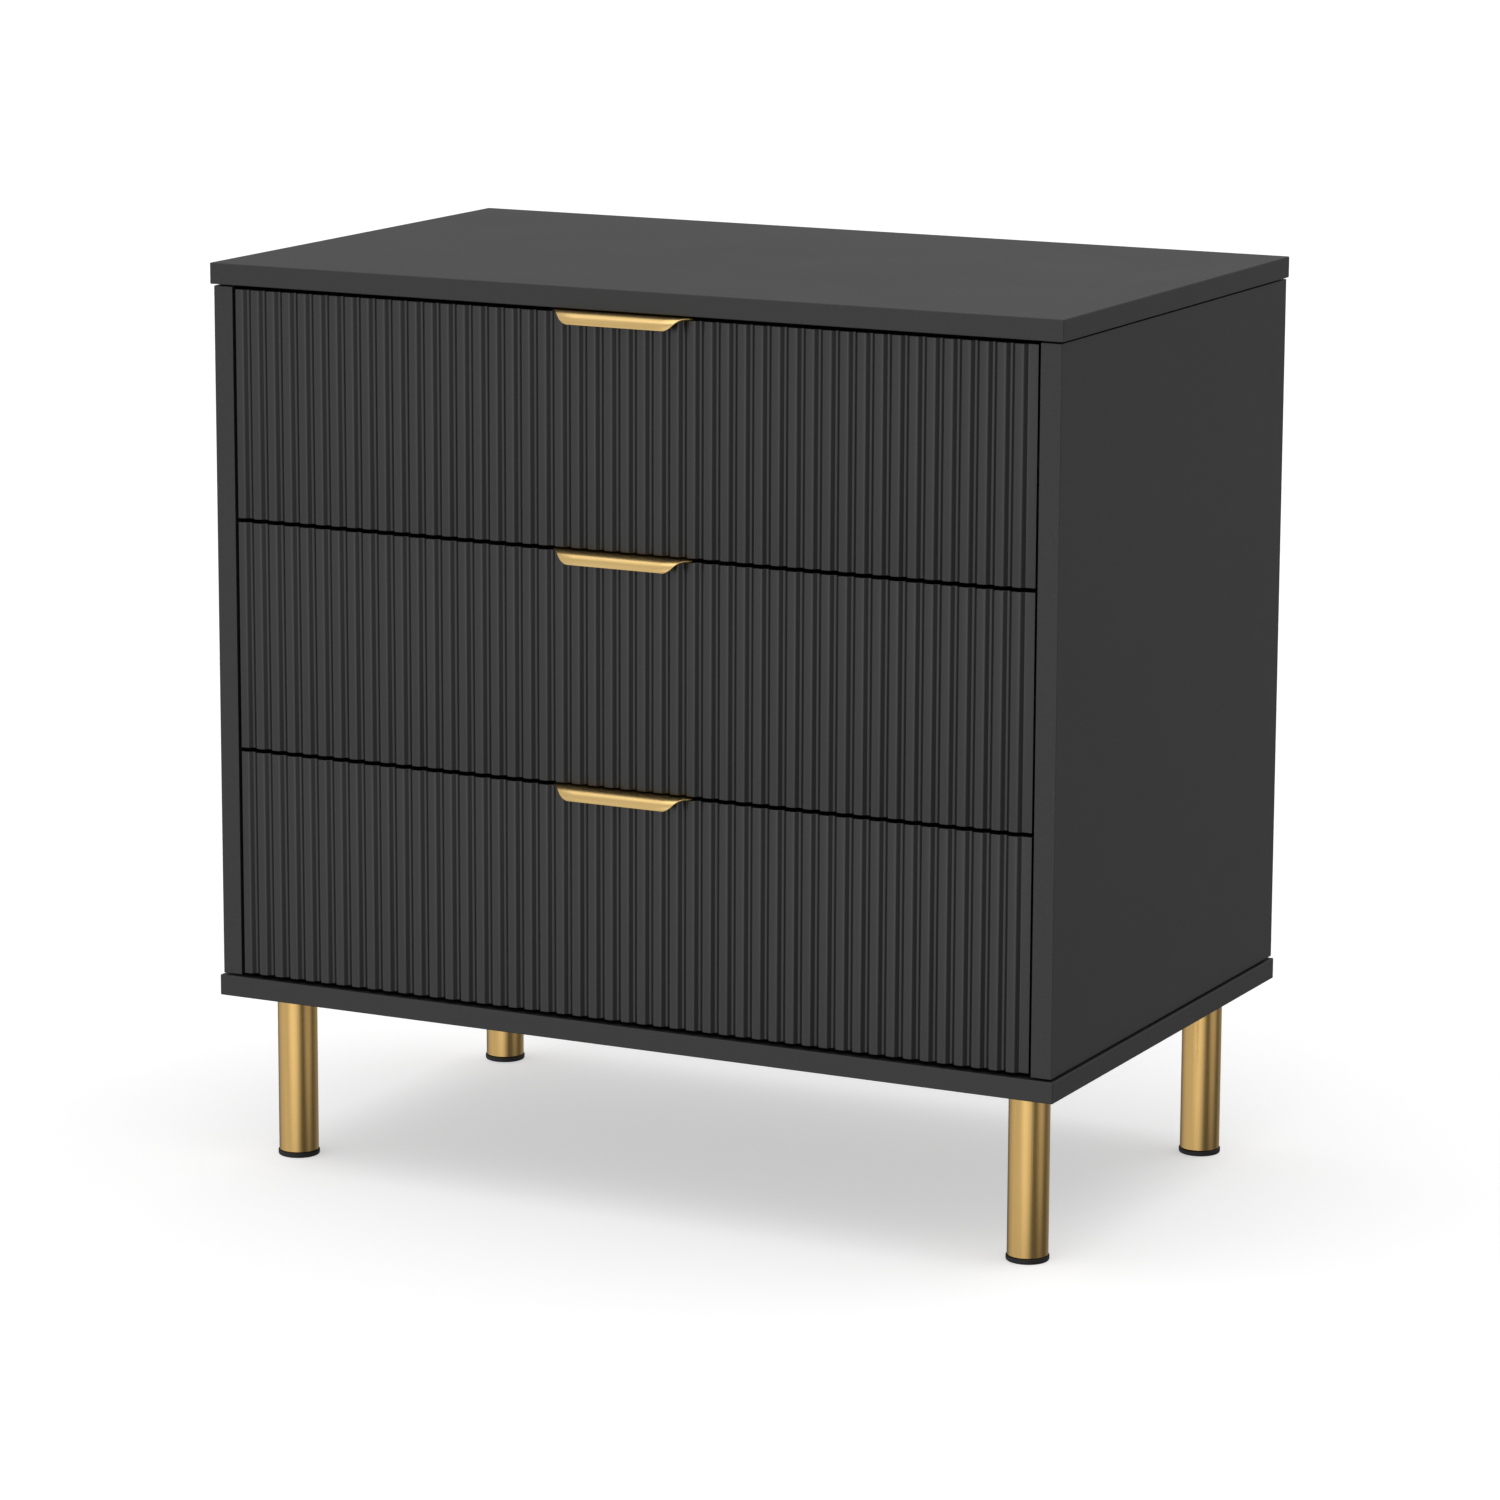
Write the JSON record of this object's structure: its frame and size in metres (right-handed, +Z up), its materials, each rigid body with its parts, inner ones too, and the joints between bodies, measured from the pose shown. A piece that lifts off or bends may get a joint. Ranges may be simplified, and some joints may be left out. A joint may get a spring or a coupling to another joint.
{
  "type": "nightstand with drawers",
  "caption": "Black nightstand with stacked drawers, vertically reeded fronts, brass lip pulls centred on each top edge and round brass legs with black foot caps.",
  "frame": {"origin": "on the floor, at the middle of the whole part's bounding box in X and Y", "axes": "+Z up, -Y out of the drawer fronts, +X to the right of a viewer who faces the drawers"},
  "size_m": [0.65, 0.407, 0.65],
  "materials": {
    "black_board": "satin black laminated board",
    "black_reeded_board": "satin black painted board with vertical reeding",
    "drawer_box_board": "matt dark laminated board",
    "backing_board": "matt dark hardboard",
    "brushed_brass": "brushed along its length",
    "leg_brass": "satin, brushed upright",
    "foot_plastic": "matt",
    "zinc_steel": "zinc plated"
  },
  "bodies": {
    "cabinet": {"top_panel": "black_board", "bottom_panel": "black_board", "left_side_panel": "black_board", "right_side_panel": "black_board", "back_panel": "backing_board", "leg_front_left": "leg_brass", "leg_front_right": "leg_brass", "leg_back_left": "leg_brass", "leg_back_right": "leg_brass", "foot_cap_front_left": "foot_plastic", "foot_cap_front_right": "foot_plastic", "foot_cap_back_left": "foot_plastic", "foot_cap_back_right": "foot_plastic", "leg_plate_front_left": "zinc_steel", "leg_plate_front_right": "zinc_steel", "leg_plate_back_left": "zinc_steel", "leg_plate_back_right": "zinc_steel", "lower_cabinet_rail_left": "zinc_steel", "lower_cabinet_rail_right": "zinc_steel", "middle_cabinet_rail_left": "zinc_steel", "middle_cabinet_rail_right": "zinc_steel", "upper_cabinet_rail_left": "zinc_steel", "upper_cabinet_rail_right": "zinc_steel"},
    "lower_drawer": {"lower_drawer_front": "black_reeded_board", "lower_drawer_left_side": "drawer_box_board", "lower_drawer_right_side": "drawer_box_board", "lower_drawer_rear": "drawer_box_board", "lower_drawer_bottom": "backing_board", "lower_pull": "brushed_brass", "lower_pull_screw_left": "zinc_steel", "lower_pull_screw_right": "zinc_steel", "lower_drawer_rail_left": "zinc_steel", "lower_drawer_rail_right": "zinc_steel"},
    "lower_middle_rails": {"lower_middle_rail_left": "zinc_steel", "lower_middle_rail_right": "zinc_steel"},
    "middle_drawer": {"middle_drawer_front": "black_reeded_board", "middle_drawer_left_side": "drawer_box_board", "middle_drawer_right_side": "drawer_box_board", "middle_drawer_rear": "drawer_box_board", "middle_drawer_bottom": "backing_board", "middle_pull": "brushed_brass", "middle_pull_screw_left": "zinc_steel", "middle_pull_screw_right": "zinc_steel", "middle_drawer_rail_left": "zinc_steel", "middle_drawer_rail_right": "zinc_steel"},
    "middle_middle_rails": {"middle_middle_rail_left": "zinc_steel", "middle_middle_rail_right": "zinc_steel"},
    "upper_drawer": {"upper_drawer_front": "black_reeded_board", "upper_drawer_left_side": "drawer_box_board", "upper_drawer_right_side": "drawer_box_board", "upper_drawer_rear": "drawer_box_board", "upper_drawer_bottom": "backing_board", "upper_pull": "brushed_brass", "upper_pull_screw_left": "zinc_steel", "upper_pull_screw_right": "zinc_steel", "upper_drawer_rail_left": "zinc_steel", "upper_drawer_rail_right": "zinc_steel"},
    "upper_middle_rails": {"upper_middle_rail_left": "zinc_steel", "upper_middle_rail_right": "zinc_steel"}
  },
  "joints": [
    {"name": "lower_drawer_slide", "type": "slide", "parent": "cabinet", "child": "lower_drawer", "axis": [0, -1, 0], "range_m": [0, 0.3]},
    {"name": "lower_middle_rail_slide", "type": "slide", "parent": "cabinet", "child": "lower_middle_rails", "axis": [0, -1, 0], "range_m": [0, 0.15]},
    {"name": "middle_drawer_slide", "type": "slide", "parent": "cabinet", "child": "middle_drawer", "axis": [0, -1, 0], "range_m": [0, 0.3]},
    {"name": "middle_middle_rail_slide", "type": "slide", "parent": "cabinet", "child": "middle_middle_rails", "axis": [0, -1, 0], "range_m": [0, 0.15]},
    {"name": "upper_drawer_slide", "type": "slide", "parent": "cabinet", "child": "upper_drawer", "axis": [0, -1, 0], "range_m": [0, 0.3]},
    {"name": "upper_middle_rail_slide", "type": "slide", "parent": "cabinet", "child": "upper_middle_rails", "axis": [0, -1, 0], "range_m": [0, 0.15]}
  ],
  "couplings": [
    {"joint": "lower_middle_rail_slide", "follows": "lower_drawer_slide", "ratio": 0.5},
    {"joint": "middle_middle_rail_slide", "follows": "middle_drawer_slide", "ratio": 0.5},
    {"joint": "upper_middle_rail_slide", "follows": "upper_drawer_slide", "ratio": 0.5}
  ]
}
